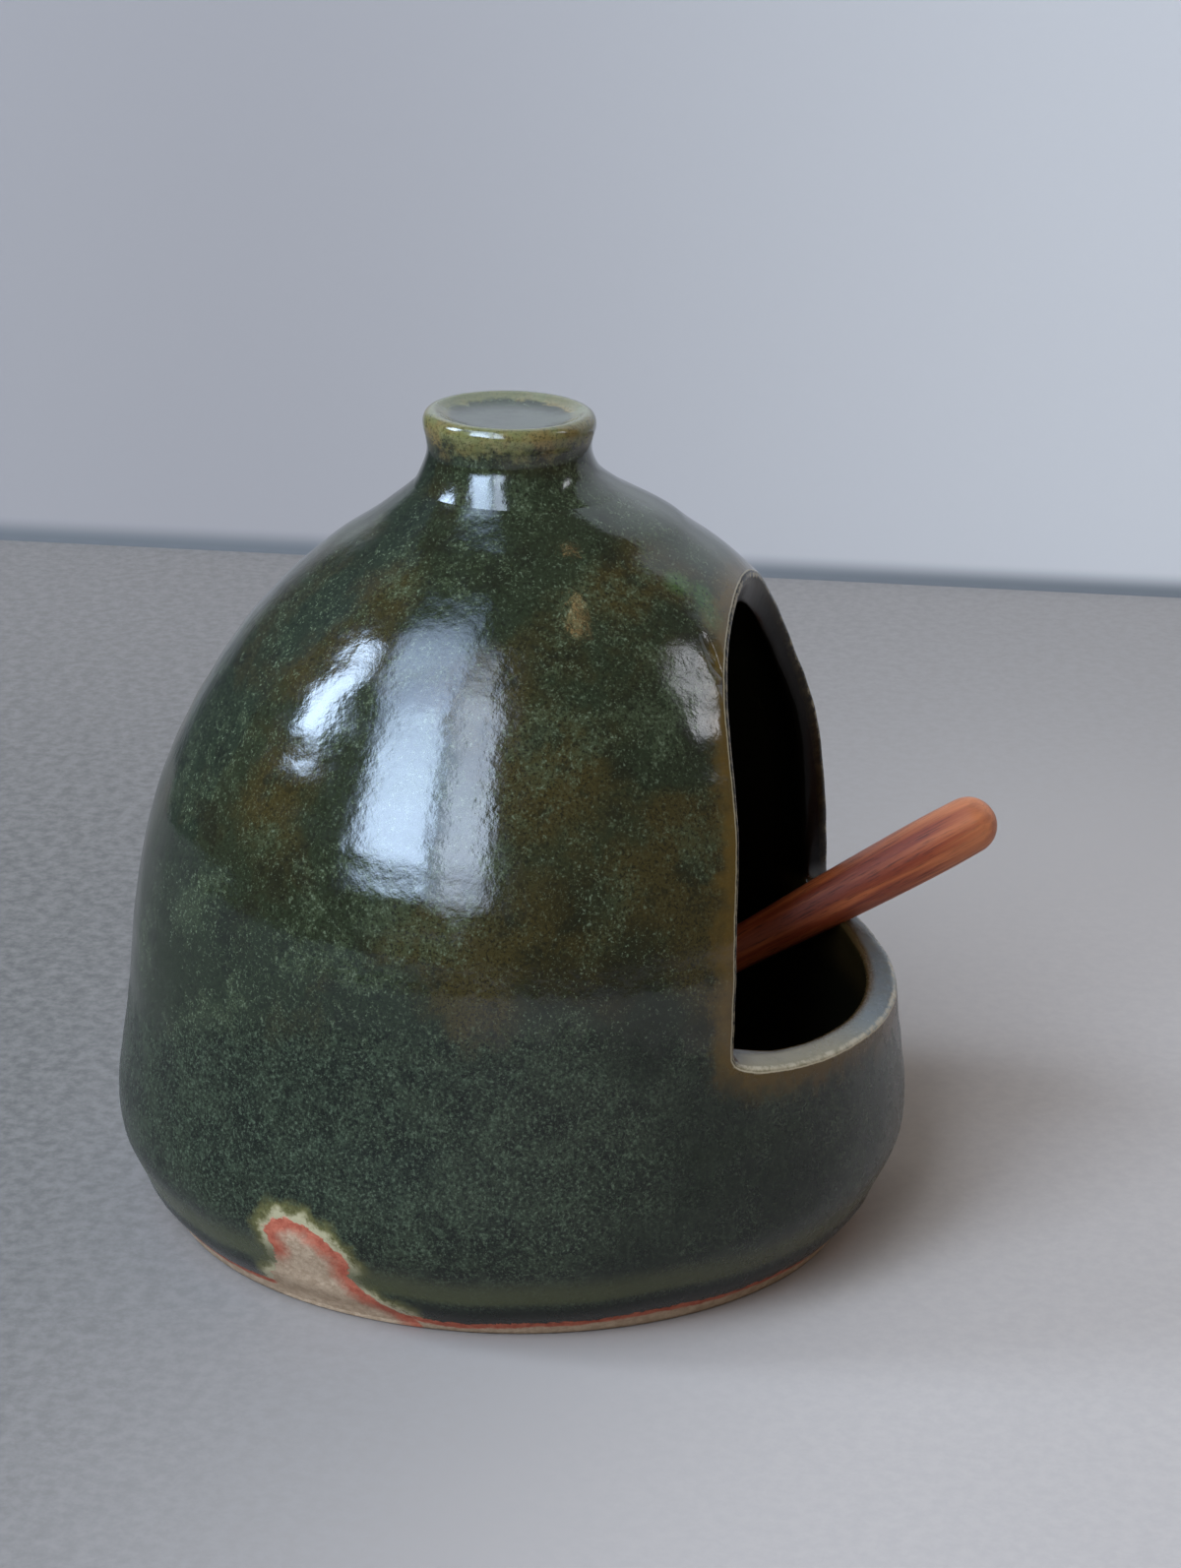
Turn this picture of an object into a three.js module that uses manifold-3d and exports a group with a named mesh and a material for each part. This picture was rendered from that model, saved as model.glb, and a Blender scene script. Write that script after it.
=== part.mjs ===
import * as THREE from 'three';
import { mergeVertices } from 'three/addons/utils/BufferGeometryUtils.js';
import Module from 'manifold-3d';

// Salt pig: a thrown stoneware bell with a mouth cut in its front, a knob luted on top,
// and a turned and carved wooden spoon that stands inside and leans on the lip.
// Millimetres. +Z up, the mouth faces -Y, the origin is the centre of the flat foot.

// Pot
const bellyRadius = 60;
const potHeight = 112;
const footRound = 1.5;
const lipWall = 4.8;
const crownWall = 3.8;
const floorThickness = 7;
const seatThickness = 9;
const mouthCorner = 5;
const cutterOverrun = 15;
const frontSwell = 6.2;
const topSetback = 1.5;

// Knob: a waisted collar with a rolled bead and a shallow dish on top
const jointGap = 0.3;
const seatLedge = 0.2;
const collarRadius = 13.7;
const neckRadius = 11.9;
const neckRise = 4.3;
const beadRadius = 12.6;
const beadRise = 8.5;
const knobRise = 10.2;
const dishEdgeRadius = 11.3;
const dishRadius = 8.6;
const dishDepth = 1.5;

// Spoon: a small round bowl on a handle that thickens towards its round end
const bowlRadius = 12.5;
const bowlFootRadius = 5.5;
const bowlHeight = 9;
const bowlWall = 2.2;
const handleRootRise = 0.6;
const handleRootRadius = 2.9;
const handleMiddleRadius = 3.3;
const handleRestRadius = 4.15;
const handleEndRadius = 4.6;
const handleOverhang = 30.2;
const restClearance = 0.5;

// Angles
const mouthLean = THREE.MathUtils.degToRad(1.3);
const restAngle = THREE.MathUtils.degToRad(33.9);
const swellSpread = THREE.MathUtils.degToRad(54);

// Shares of the belly's radius: how wide the pot is, and how far out the mouth is cut
const footShare = 0.868;
const flareShare = 0.96;
const hipShare = 0.975;
const waistShare = 0.957;
const shoulderShare = 0.89;
const domeShare = 0.74;
const crownShare = 0.523;
const necklineShare = 0.328;
const floorShare = 0.683;
const mouthPlaneShare = 0.675;
const mouthTopPlaneShare = 0.543;
const bowlAcrossShare = -0.168;
const bowlBackShare = 0.343;

// Shares of the pot's height: how high each of those is
const flareRiseShare = 0.082;
const bellyRiseShare = 0.166;
const hipRiseShare = 0.268;
const waistRiseShare = 0.4;
const shoulderRiseShare = 0.577;
const domeRiseShare = 0.742;
const crownRiseShare = 0.873;
const necklineRiseShare = 0.952;
const lipShare = 0.327;
const mouthStraightShare = 0.5;
const mouthBendShare = 0.625;
const mouthTopShare = 0.911;
const swellStartShare = 0.705;
const swellFullShare = 0.93;
const swellFadeShare = 0.955;
const swellEndShare = 1.02;

// Shares along the handle and across the bowl's hollow
const handleMiddleShare = 0.5;
const handleFullShare = 0.9;
const hollowFloorShare = 0.5;
const hollowBendShare = 0.72;
const handleStartShare = 0.64;

// Facets
const wallSides = 64;
const knobSides = 36;
const bowlSides = 32;
const handleSides = 16;
const outerSteps = 22;
const innerSteps = 15;
const filletSteps = 5;
const roundSteps = 4;
const knobSteps = 14;

const lipHeight = potHeight * lipShare;
const mouthPlane = bellyRadius * mouthPlaneShare;
const crownHeight = potHeight * crownRiseShare;

const wasm = await Module();
wasm.setup();

// A closed three.js geometry as a solid that can be cut and joined.
function solidFrom(geometry) {
  const bare = geometry.index ? geometry.toNonIndexed() : geometry.clone();
  bare.deleteAttribute('normal');
  bare.deleteAttribute('uv');
  const merged = mergeVertices(bare);
  const corners = merged.index.array;
  const kept = [];
  for (let i = 0; i < corners.length; i += 3) {
    const [a, b, c] = corners.slice(i, i + 3);
    if (a !== b && b !== c && c !== a) kept.push(a, b, c);
  }
  return new wasm.Manifold(new wasm.Mesh({
    numProp: 3,
    vertProperties: new Float32Array(merged.attributes.position.array),
    triVerts: new Uint32Array(kept),
  }));
}

// The other way: a solid as a three.js geometry.
function geometryFrom(solid) {
  const mesh = solid.getMesh();
  const geometry = new THREE.BufferGeometry();
  geometry.setAttribute('position', new THREE.BufferAttribute(mesh.vertProperties, 3));
  geometry.setIndex(new THREE.BufferAttribute(mesh.triVerts, 1));
  geometry.computeVertexNormals();
  return geometry;
}

// A body turned about +Z from an outline of (radius, height) points, listed from the
// bottom of the axis to its top with the material on the left.
function turned(outline, sides) {
  const geometry = new THREE.LatheGeometry(outline, sides);
  geometry.rotateX(Math.PI / 2);
  return solidFrom(geometry);
}

const at = (radius, height) => new THREE.Vector2(radius, height);

// The outside of the wall, from above the foot's rounded edge to the knob's seat.
function outerWall() {
  const onWall = (radiusShare, riseShare) => at(bellyRadius * radiusShare, potHeight * riseShare);
  const curve = new THREE.SplineCurve([
    at(bellyRadius * footShare + footRound / 2, footRound),
    onWall(flareShare, flareRiseShare),
    onWall(1, bellyRiseShare),
    onWall(hipShare, hipRiseShare),
    onWall(waistShare, waistRiseShare),
    onWall(shoulderShare, shoulderRiseShare),
    onWall(domeShare, domeRiseShare),
    onWall(crownShare, crownRiseShare),
    onWall(necklineShare, necklineRiseShare),
    at(collarRadius + seatLedge, potHeight),
  ]);
  return curve.getSpacedPoints(outerSteps);
}

// The inside of the wall: the outside moved in by the wall's thickness, which thins
// from the lip up to the crown, then the floor's fillet below it and the crown above.
function innerWall(outside) {
  const wall = new THREE.SplineCurve(outside).getSpacedPoints(outerSteps * 2);
  const inside = [];
  for (let i = 1; i < wall.length - 1; i += 1) {
    const along = wall[i + 1].clone().sub(wall[i - 1]).normalize();
    const rise = THREE.MathUtils.smoothstep(wall[i].y, lipHeight, crownHeight);
    const thickness = THREE.MathUtils.lerp(lipWall, crownWall, rise);
    const point = at(wall[i].x - along.y * thickness, wall[i].y + along.x * thickness);
    if (point.y > potHeight * bellyRiseShare && wall[i].y < crownHeight) inside.push(point);
  }
  const side = new THREE.SplineCurve(inside).getSpacedPoints(innerSteps);
  const fillet = new THREE.QuadraticBezierCurve(
    at(bellyRadius * floorShare, floorThickness),
    at(side[0].x, floorThickness),
    side[0],
  );
  const last = side[side.length - 1];
  const innerCrownHeight = potHeight - seatThickness;
  const crown = new THREE.QuadraticBezierCurve(
    last,
    at(last.x / 2, innerCrownHeight),
    at(0, innerCrownHeight),
  );
  return [
    at(0, floorThickness),
    ...fillet.getPoints(filletSteps),
    ...side.slice(1),
    ...crown.getPoints(filletSteps).slice(1),
  ];
}

// Everything that the potter cut away: a prism across the front, round in its corner,
// that stands straight over the lip and leans back towards its top.
function mouthCutter() {
  const reach = bellyRadius + cutterOverrun;
  const top = potHeight * mouthTopShare;
  const outline = new THREE.Shape();
  outline.moveTo(reach, lipHeight);
  outline.lineTo(reach, top);
  outline.lineTo(bellyRadius * mouthTopPlaneShare, top);
  outline.quadraticCurveTo(
    mouthPlane,
    potHeight * mouthBendShare,
    mouthPlane,
    potHeight * mouthStraightShare,
  );
  outline.lineTo(mouthPlane, lipHeight + mouthCorner);
  outline.absarc(
    mouthPlane + mouthCorner,
    lipHeight + mouthCorner,
    mouthCorner,
    Math.PI,
    Math.PI * 1.5,
    false,
  );
  const prism = new THREE.ExtrudeGeometry(outline, {
    depth: reach * 2,
    bevelEnabled: false,
    curveSegments: filletSteps,
  });
  prism.translate(0, 0, -reach);
  const forward = new THREE.Vector3(0, -1, 0);
  const up = new THREE.Vector3(0, 0, 1);
  const across = forward.clone().cross(up);
  prism.applyMatrix4(new THREE.Matrix4().makeBasis(forward, up, across));
  prism.rotateY(mouthLean);
  return solidFrom(prism);
}

// The dome as it slumped when the mouth was cut: fuller in front above the mouth, with
// its top set back a little.
function slumped(solid) {
  return solid.warp((point) => {
    const [x, y, z] = point;
    const turn = Math.atan2(x, -y) / swellSpread;
    const rising = THREE.MathUtils.smoothstep(z, potHeight * swellStartShare, potHeight * swellFullShare);
    const fading = THREE.MathUtils.smoothstep(z, potHeight * swellFadeShare, potHeight * swellEndShare);
    const swell = frontSwell * rising * (1 - fading) * Math.exp(-turn * turn);
    const radius = Math.hypot(x, y);
    const stretch = radius > crownWall ? 1 + swell / radius : 1 + swell / crownWall;
    point[0] = x * stretch;
    point[1] = y * stretch + topSetback * rising;
  });
}

// The thrown pot: floor, wall and closed dome in one, with its mouth cut out.
function potBody(wall) {
  const footRadius = bellyRadius * footShare;
  const foot = new THREE.QuadraticBezierCurve(
    at(footRadius - footRound, 0),
    at(footRadius, 0),
    wall[0],
  );
  const outside = turned([
    at(0, 0),
    ...foot.getPoints(roundSteps),
    ...wall.slice(1),
    at(0, potHeight),
  ], wallSides);
  const inside = turned(innerWall(wall), wallSides);
  return slumped(outside.subtract(inside)).subtract(mouthCutter());
}

// The knob stands on its seat and rises from its own foot at height zero.
function knobBody() {
  const side = new THREE.SplineCurve([
    at(collarRadius, 0),
    at(neckRadius, neckRise),
    at(beadRadius, beadRise),
    at(dishEdgeRadius, knobRise),
    at(dishRadius, knobRise - dishDepth / 2),
  ]);
  const dish = new THREE.QuadraticBezierCurve(
    at(dishRadius, knobRise - dishDepth / 2),
    at(dishRadius / 2, knobRise - dishDepth),
    at(0, knobRise - dishDepth),
  );
  return turned([
    at(0, 0),
    ...side.getPoints(knobSteps),
    ...dish.getPoints(roundSteps).slice(1),
  ], knobSides);
}

// Where the spoon stands: its bowl on the floor at the back, its handle over the lip's
// inner edge, clear of it by the rest's clearance.
function spoonStance(wall) {
  const lipRadius = wall.find((point) => point.y > lipHeight).x - lipWall;
  const bowl = at(bellyRadius * bowlAcrossShare, bellyRadius * bowlBackShare);
  const rest = at(lipRadius * Math.sin(restAngle), -lipRadius * Math.cos(restAngle));
  const lipThere = lipHeight - rest.x * Math.sin(mouthLean);
  const base = floorThickness + jointGap;
  const climb = lipThere + restClearance - base - handleRootRise;
  const run = rest.clone().sub(bowl);
  const sight = Math.hypot(run.length(), climb);
  return {
    bowl,
    base,
    heading: run.angle(),
    rise: Math.atan2(climb, run.length()) + Math.asin(handleRestRadius / sight),
    restDistance: sight,
  };
}

// The spoon stands on its bowl, with its handle rising along +X.
function spoonBody(rise, restDistance) {
  const flank = new THREE.CubicBezierCurve(
    at(bowlFootRadius, 0),
    at(bowlRadius - bowlWall, 0),
    at(bowlRadius, bowlHeight / 2),
    at(bowlRadius, bowlHeight),
  );
  const bowl = turned([
    at(0, 0),
    ...flank.getPoints(filletSteps * 2),
    at(0, bowlHeight),
  ], bowlSides);

  const rim = bowlRadius - bowlWall;
  const scoop = new THREE.CubicBezierCurve(
    at(rim * hollowFloorShare, bowlWall),
    at(rim * hollowBendShare + bowlWall, bowlWall),
    at(rim, bowlHeight * hollowFloorShare),
    at(rim, bowlHeight),
  );
  const hollow = turned([
    at(0, bowlWall),
    ...scoop.getPoints(filletSteps * 2),
    at(rim, bowlHeight * 2),
    at(0, bowlHeight * 2),
  ], bowlSides);

  const length = restDistance + handleOverhang;
  const taper = new THREE.SplineCurve([
    at(handleRootRadius, bowlRadius * handleStartShare),
    at(handleMiddleRadius, length * handleMiddleShare),
    at(handleRestRadius, restDistance),
    at(handleEndRadius, length * handleFullShare),
    at(handleEndRadius, length - handleEndRadius),
  ]);
  const tip = new THREE.EllipseCurve(
    0,
    length - handleEndRadius,
    handleEndRadius,
    handleEndRadius,
    0,
    Math.PI / 2,
  );
  const handle = new THREE.LatheGeometry([
    at(0, bowlRadius * handleStartShare),
    ...taper.getPoints(outerSteps),
    ...tip.getPoints(filletSteps).slice(1, -1),
    at(0, length),
  ], handleSides);
  handle.rotateX(Math.PI / 2);
  handle.rotateY(Math.PI / 2 - rise);
  handle.translate(0, 0, handleRootRise);
  return bowl.add(solidFrom(handle)).subtract(hollow);
}

function part(name, solid, colour, roughness) {
  const material = new THREE.MeshStandardMaterial({ color: colour, roughness, metalness: 0 });
  const mesh = new THREE.Mesh(geometryFrom(solid), material);
  mesh.name = name;
  return mesh;
}

const saltPig = new THREE.Group();
const wall = outerWall();

const pot = part('pot_body', potBody(wall), '#2f3a2c', 0.18);
saltPig.add(pot);

const knob = part('knob', knobBody(), '#4a4426', 0.2);
knob.position.set(0, topSetback, potHeight + jointGap);
saltPig.add(knob);

const stance = spoonStance(wall);
const spoon = part('spoon', spoonBody(stance.rise, stance.restDistance), '#7a3d28', 0.55);
spoon.position.set(stance.bowl.x, stance.bowl.y, stance.base);
spoon.rotation.z = stance.heading;
saltPig.add(spoon);

export default saltPig;
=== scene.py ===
import bpy
import numpy as np
from mathutils import Matrix, Vector


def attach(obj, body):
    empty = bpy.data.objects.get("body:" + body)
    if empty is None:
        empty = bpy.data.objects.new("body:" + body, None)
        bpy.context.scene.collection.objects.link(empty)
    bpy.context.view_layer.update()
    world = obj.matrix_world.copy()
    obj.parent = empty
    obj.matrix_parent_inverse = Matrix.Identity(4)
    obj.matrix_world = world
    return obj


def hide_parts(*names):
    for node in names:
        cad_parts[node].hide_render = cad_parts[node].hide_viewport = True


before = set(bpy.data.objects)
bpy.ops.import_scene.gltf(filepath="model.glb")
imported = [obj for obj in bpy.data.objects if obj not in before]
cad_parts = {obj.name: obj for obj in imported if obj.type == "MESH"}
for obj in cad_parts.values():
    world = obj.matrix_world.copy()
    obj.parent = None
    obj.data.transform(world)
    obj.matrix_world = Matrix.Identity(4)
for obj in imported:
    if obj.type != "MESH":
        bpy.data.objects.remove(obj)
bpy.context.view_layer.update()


# The pot
# A stoneware bell thrown in one piece, closed at the top, with a mouth cut out of its
# front with a wire and sponged round at the edges. It is dipped in a dark green glaze
# that stops short of the foot, and the clay shows bare where the glaze drew back.

MM = 0.001

# Lengths are in millimetres, and turns in radians from the middle of the mouth. The cut is
# drawn as (depth before the axis, height): outwards along its lip, and up its plane.
POT_COLUMNS = 320
MOUTH_COLUMNS = 80
LIP_HEIGHT = 36.6
LIP_LINE = [(39.0, 40.9), (41.0, 40.0), (44.2, 38.5), (48.1, 37.5), (51.8, 36.8), (57.8, 36.2)]
MOUTH_LINE = [
    (41.6, 34.0), (41.3, 43.0), (41.1, 52.0), (40.6, 60.5), (39.7, 70.5), (38.3, 77.0), (36.8, 82.7),
    (35.3, 88.8), (34.2, 94.5), (33.5, 100.0), (32.6, 106.0),
]
MOUTH_MIDDLE = 62.0
MOUTH_CORNER = 0.9
MOUTH_LEAN = np.radians(1.3)
EDGE_PULL = 0.8
INNER_SPLAY = 0.92

# The heights between which the dome is wider in front and its top stands back.
FRONT_SWELL = 6.2
SWELL_START = 79.0
SWELL_FULL = 104.0
SWELL_FADE = 107.0
SWELL_END = 114.2
SWELL_SPREAD = np.radians(54)
TOP_SETBACK = 1.5

LINE_SAMPLES = 4000


def run_along(line):
    """The length along a line up to each of its points: the sum of the steps before it."""
    return np.concatenate([[0.0], np.cumsum(np.linalg.norm(np.diff(line, axis=0), axis=1))])


def smooth_line(knots, count):
    """A natural cubic spline through the knots, its parameter the summed chord length,
    read at count places evenly spaced along its length."""
    knots = np.asarray(knots, float)
    chord = run_along(knots)
    gap = np.diff(chord)[:, None]
    inner = np.arange(1, len(knots) - 1)
    system = np.eye(len(knots))
    system[inner, inner - 1] = gap[:-1, 0]
    system[inner, inner] = 2 * (gap[:-1, 0] + gap[1:, 0])
    system[inner, inner + 1] = gap[1:, 0]
    slope = np.diff(knots, axis=0) / gap
    bend = np.zeros_like(knots)
    bend[inner] = 6 * np.diff(slope, axis=0)
    bend = np.linalg.solve(system, bend)
    place = np.linspace(0.0, chord[-1], LINE_SAMPLES)
    span = np.clip(np.searchsorted(chord, place, side="right") - 1, 0, len(gap) - 1)
    into = (place - chord[span])[:, None]
    width = gap[span]
    line = (
        knots[span]
        + into * (slope[span] - width * (2 * bend[span] + bend[span + 1]) / 6)
        + into ** 2 * bend[span] / 2
        + into ** 3 * (bend[span + 1] - bend[span]) / (6 * width)
    )
    return even_steps(line, count)


def even_steps(line, count):
    """The same line read at count places evenly spaced along its length."""
    line = np.asarray(line, float)
    run = run_along(line)
    place = np.linspace(0.0, run[-1], count)
    return np.stack([np.interp(place, run, line[:, k]) for k in range(line.shape[1])], axis=1)


def bezier(start, pull, end, count):
    """Count points of a quadratic curve from start to end, drawn towards pull. The three may
    be lines of points, and the result is then rows between them."""
    start, pull, end = np.asarray(start), np.asarray(pull), np.asarray(end)
    t = np.linspace(0.0, 1.0, count).reshape(-1, *[1] * start.ndim)
    return (1 - t) ** 2 * start + 2 * t * (1 - t) * pull + t ** 2 * end


def mouth_depth(height):
    """How far in front of the axis the cut runs at a height: nearly upright over the lip,
    then leaning back towards the top."""
    line = smooth_line(MOUTH_LINE, 200)
    return np.interp(height, line[:, 1], line[:, 0])


def eased(amount, low, high):
    """A smooth step from 0 at low to 1 at high: three squares less two cubes."""
    share = np.clip((amount - low) / (high - low), 0.0, 1.0)
    return share * share * (3 - 2 * share)


def front_swell(turn, height):
    """How much wider the dome is than round: it slumped forward over the cut mouth, most
    at the front and near its top, fading to both sides as a bell curve."""
    risen = eased(height, SWELL_START, SWELL_FULL) * (1 - eased(height, SWELL_FADE, SWELL_END))
    return FRONT_SWELL * risen * np.exp(-(turn / SWELL_SPREAD) ** 2)


def set_back(place):
    """The same points with the dome's top moved back a little."""
    place = place.copy()
    place[..., 1] += TOP_SETBACK * eased(place[..., 2], SWELL_START, SWELL_FULL)
    return place


def mouth_cut(radius, height, turn, pull, splay):
    """How far inside the cut a point of the wall is: the smaller of its distances to the
    cut's plane and to the lip, rounded where the two meet, with the cut grown by pull and
    its plane brought nearer the axis by the splay."""
    radius = radius + front_swell(turn, height)
    across = radius * np.sin(turn)
    upright = height + across * np.tan(MOUTH_LEAN)
    depth = radius * np.cos(turn) - TOP_SETBACK * eased(height, SWELL_START, SWELL_FULL)
    from_plane = depth - mouth_depth(upright) * splay + pull
    lip_depth, lip_height = np.transpose(LIP_LINE)
    from_lip = upright - np.interp(depth, lip_depth, lip_height) + pull
    corner = MOUTH_CORNER + pull
    short_plane = np.maximum(corner - from_plane, 0)
    short_lip = np.maximum(corner - from_lip, 0)
    rounded = corner - np.hypot(short_plane, short_lip)
    return np.minimum(np.minimum(from_plane, from_lip), rounded), from_plane - from_lip


# The mouth's edge is looked for on rays from its middle, halving the gap each time. A
# radian of turn counts as this many millimetres, about what it is on the wall there.
RAYS = 6000
HALVINGS = 44
RAY_LENGTH = 75.0
RADIAN_LENGTH = 50.0
LOW_CORNERS_BELOW = 50.0
HIGH_CORNERS_ABOVE = 60.0


def mouth_loop(wall, run, pull, splay, corner_height, rows):
    """The cut's edge on a turned wall, as (turn, run along the wall), one place for each
    point round a rectangle of the grid: along the lip, up the right, back over the top,
    down the left."""
    middle = np.interp(MOUTH_MIDDLE, wall[:, 1], run)
    ray = np.linspace(-np.pi, np.pi, RAYS + 1)
    near = np.zeros_like(ray)
    far = np.full_like(ray, RAY_LENGTH)

    def at(reach):
        """The turn, run and height at that reach on each ray, and how far inside the cut."""
        turn = reach * np.cos(ray) / RADIAN_LENGTH
        place = middle + reach * np.sin(ray)
        radius = np.interp(place, run, wall[:, 0])
        height = np.interp(place, run, wall[:, 1])
        return turn, place, height, *mouth_cut(radius, height, turn, pull, splay)

    for _ in range(HALVINGS):
        half = (near + far) / 2
        inside = at(half)[3] > 0
        near = np.where(inside, half, near)
        far = np.where(inside, far, half)
    turn, place, height, _, lip_side = at(near)
    low = height < LOW_CORNERS_BELOW
    high = height > HIGH_CORNERS_ABOVE

    def nearest(wanted, amount):
        return int(np.argmin(np.where(wanted, np.abs(amount), np.inf)))

    low_left = nearest(low & (turn < 0), lip_side)
    low_right = nearest(low & (turn > 0), lip_side)
    top_right = nearest(high & (turn > 0), height - corner_height)
    top_left = nearest(high & (turn < 0), height - corner_height)
    points = np.stack([turn, place], axis=1)[:-1]
    count = len(points)
    sides = []
    for first, last, steps in (
        (low_left, low_right, MOUTH_COLUMNS),
        (low_right, top_right, rows),
        (top_right, top_left, MOUTH_COLUMNS),
        (top_left, low_left, rows),
    ):
        order = np.arange(first, first + (last - first) % count + 1) % count
        stretch = points[order] * (RADIAN_LENGTH, 1.0)
        sides.append(even_steps(stretch, steps + 1)[:-1] / (RADIAN_LENGTH, 1.0))
    return np.vstack(sides)


SPREAD_ROUNDS = 2600
pot_turn = (np.arange(POT_COLUMNS) - POT_COLUMNS // 2) * 2 * np.pi / POT_COLUMNS


def spread_grid(run_of_row, loop, first_row, rows):
    """A grid of (turn, run) over the wall whose rows and columns part round the mouth:
    the points of a rectangle move onto the loop, and the move dies away smoothly, each
    point's being the mean of its four neighbours'."""
    turn, run = np.meshgrid(pot_turn, run_of_row)
    left = (POT_COLUMNS - MOUTH_COLUMNS) // 2
    down = first_row
    right = left + MOUTH_COLUMNS
    top = down + rows
    ring_row = np.concatenate([
        np.full(MOUTH_COLUMNS, down),
        np.arange(down, top),
        np.full(MOUTH_COLUMNS, top),
        np.arange(top, down, -1),
    ])
    ring_column = np.concatenate([
        np.arange(left, right),
        np.full(rows, right),
        np.arange(right, left, -1),
        np.full(rows, left),
    ])
    move = np.zeros(turn.shape + (2,))
    fixed = loop - np.stack([turn[ring_row, ring_column], run[ring_row, ring_column]], axis=1)
    for _ in range(SPREAD_ROUNDS):
        around = np.roll(move, 1, axis=1) + np.roll(move, -1, axis=1)
        around[1:-1] += move[2:] + move[:-2]
        around[1:-1] /= 4
        around[0] = 0
        around[-1] = 0
        move = around
        move[ring_row, ring_column] = fixed
        move[down + 1:top, left + 1:right] = 0
    hole = np.zeros(turn.shape, bool)
    hole[down:top, left:right] = True
    return turn + move[..., 0], run + move[..., 1], hole, ring_row, ring_column


def waves(place, length, seed, count=7):
    """A soft even unevenness between -1 and 1: the mean of sine waves of about that
    length that run in unlike directions."""
    rng = np.random.default_rng(seed)
    heading = rng.normal(size=(count, 3))
    heading /= np.linalg.norm(heading, axis=1)[:, None]
    stretch = length * rng.uniform(0.8, 1.4, count)
    phase = rng.uniform(0, 2 * np.pi, count)
    height = np.sin(place @ (heading / stretch[:, None]).T * 2 * np.pi + phase)
    return height.sum(axis=1) / np.sqrt(count) / 1.6


def new_mesh(name, points, quads, triangles=()):
    """A smooth-shaded mesh from points in millimetres and lists of corners."""
    mesh = bpy.data.meshes.new(name)
    faces = [tuple(face) for faces in (quads, triangles) for face in np.asarray(faces).tolist()]
    mesh.from_pydata((np.asarray(points) * MM).tolist(), [], faces)
    mesh.polygons.foreach_set("use_smooth", np.ones(len(mesh.polygons), bool))
    mesh.validate()
    mesh.update()
    piece = bpy.data.objects.new(name, mesh)
    bpy.context.scene.collection.objects.link(piece)
    return piece


def note(piece, name, amounts):
    """Writes one number for each point of the piece, for its material to read."""
    layer = piece.data.attributes.new(name, "FLOAT", "POINT")
    layer.data.foreach_set("value", np.asarray(amounts, np.float32))


# Outside of the wall as (radius, height), read off the pot from its foot to the knob.
OUTSIDE = [
    (52.6, 1.6), (54.5, 4.4), (57.0, 9.0), (59.1, 13.6), (59.6, 18.6), (58.9, 25.4),
    (57.9, 33.3), (57.2, 43.0), (55.9, 53.8), (53.3, 64.6), (49.3, 74.3), (44.3, 83.1),
    (38.2, 91.0), (31.3, 97.8), (25.2, 102.7), (19.7, 106.6), (16.1, 109.6), (13.6, 112.0),
]
# Inside of the wall, from the top of the floor's fillet to the crown.
INSIDE = [
    (54.3, 20.0), (54.0, 28.0), (52.8, 38.0), (51.4, 50.0), (49.5, 62.0), (45.8, 72.0),
    (41.2, 80.0), (35.2, 88.0), (26.6, 96.0),
]
FOOT_RADIUS = 50.4
SEAT_HEIGHT = 112.0
SEAT_RADIUS = 12.0
FLOOR_TOP = 7.0
FLOOR_RADIUS = 41.0
CROWN_HEIGHT = 103.0
POLE_RADIUS = 1.5
AXIS_WIDTH = 12.0

# Rows of faces below, beside and above the mouth, the height that the rows beside it reach
# before they part, and the height of the loop's top corners.
OUTSIDE_ROWS = (34, 52, 40)
INSIDE_ROWS = (14, 52, 22)
OUTSIDE_TOPS = (93.0, 91.0)
INSIDE_TOPS = (89.0, 87.0)

outside = smooth_line(OUTSIDE, 1600)
outside_run = run_along(outside)
inside = np.vstack([
    smooth_line(INSIDE, 1200),
    bezier(INSIDE[-1], (15.0, 102.9), (0.0, CROWN_HEIGHT), 300)[1:],
])
inside = inside[inside[:, 0] >= POLE_RADIUS]
inside_run = run_along(inside)


def rows_of_run(wall, run, counts, top_height):
    """The run of each row: even steps up to the lip, to the mouth's top, and to the end."""
    lip = np.interp(LIP_HEIGHT, wall[:, 1], run)
    high = np.interp(top_height, wall[:, 1], run)
    return np.concatenate([
        np.linspace(0.0, lip, counts[0] + 1)[:-1],
        np.linspace(lip, high, counts[1] + 1)[:-1],
        np.linspace(high, run[-1], counts[2] + 1),
    ])


def on_wall(wall, run, turn, place):
    """Points of a turned wall: x = radius sin(turn), y = -radius cos(turn), z = height."""
    height = np.interp(place, run, wall[:, 1])
    radius = np.interp(place, run, wall[:, 0]) + front_swell(turn, height)
    return np.stack([radius * np.sin(turn), -radius * np.cos(turn), height], axis=-1)


def half_pot(wall, run, counts, splay, grid_top, corner_height):
    """One side of the wall: its grid and its mouth's edge, drawn back and sharp."""
    drawn = mouth_loop(wall, run, EDGE_PULL, splay, corner_height, counts[1])
    sharp = mouth_loop(wall, run, 0.0, splay, corner_height, counts[1])
    turn, place, hole, ring_row, ring_column = spread_grid(
        rows_of_run(wall, run, counts, grid_top), drawn, counts[0], counts[1]
    )
    edge = on_wall(wall, run, sharp[:, 0], sharp[:, 1])
    return on_wall(wall, run, turn, place), hole, (ring_row, ring_column), edge


outer_grid, outer_hole, outer_ring, outer_edge = half_pot(
    outside, outside_run, OUTSIDE_ROWS, 1.0, *OUTSIDE_TOPS
)
inner_grid, inner_hole, inner_ring, inner_edge = half_pot(
    inside, inside_run, INSIDE_ROWS, INNER_SPLAY, *INSIDE_TOPS
)


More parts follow.
